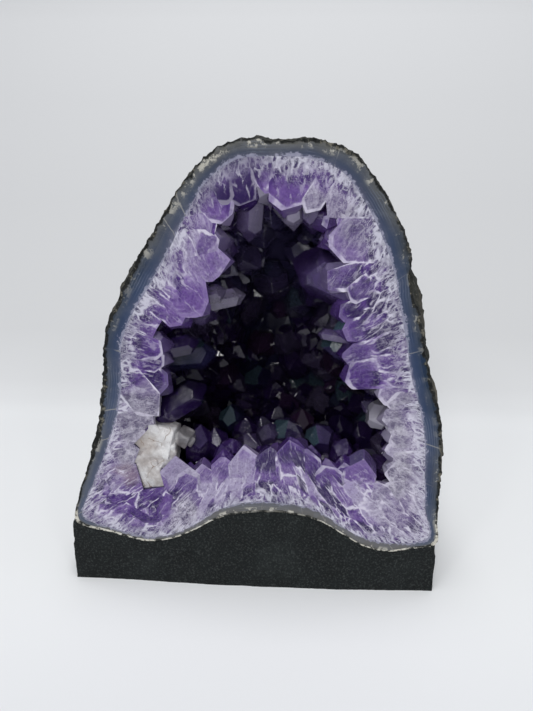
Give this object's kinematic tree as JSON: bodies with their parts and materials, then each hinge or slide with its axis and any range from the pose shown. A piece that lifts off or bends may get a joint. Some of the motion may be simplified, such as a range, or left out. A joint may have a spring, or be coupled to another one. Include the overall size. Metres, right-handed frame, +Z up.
{
  "type": "amethyst geode on a cement foot",
  "caption": "Sawn amethyst geode that stands upright on an arched cement foot, with violet points round a deep open hollow.",
  "frame": {"origin": "on the ground, under the middle of the whole geode's box", "axes": "+Z up, -Y out of the sawn face and the hollow, +X to the right as seen from in front"},
  "size_m": [0.183, 0.1236, 0.2164],
  "materials": {
    "basalt": "rough, broken",
    "chalcedony": "polished on the sawn face",
    "amethyst": "natural crystal faces, polished where sawn",
    "calcite": "satin",
    "cement": "painted, fine grain"
  },
  "bodies": {
    "root": {"basalt_husk": "basalt", "chalcedony_band": "chalcedony", "amethyst_crust": "amethyst", "calcite_cluster": "calcite", "cement_foot": "cement"}
  },
  "joints": []
}
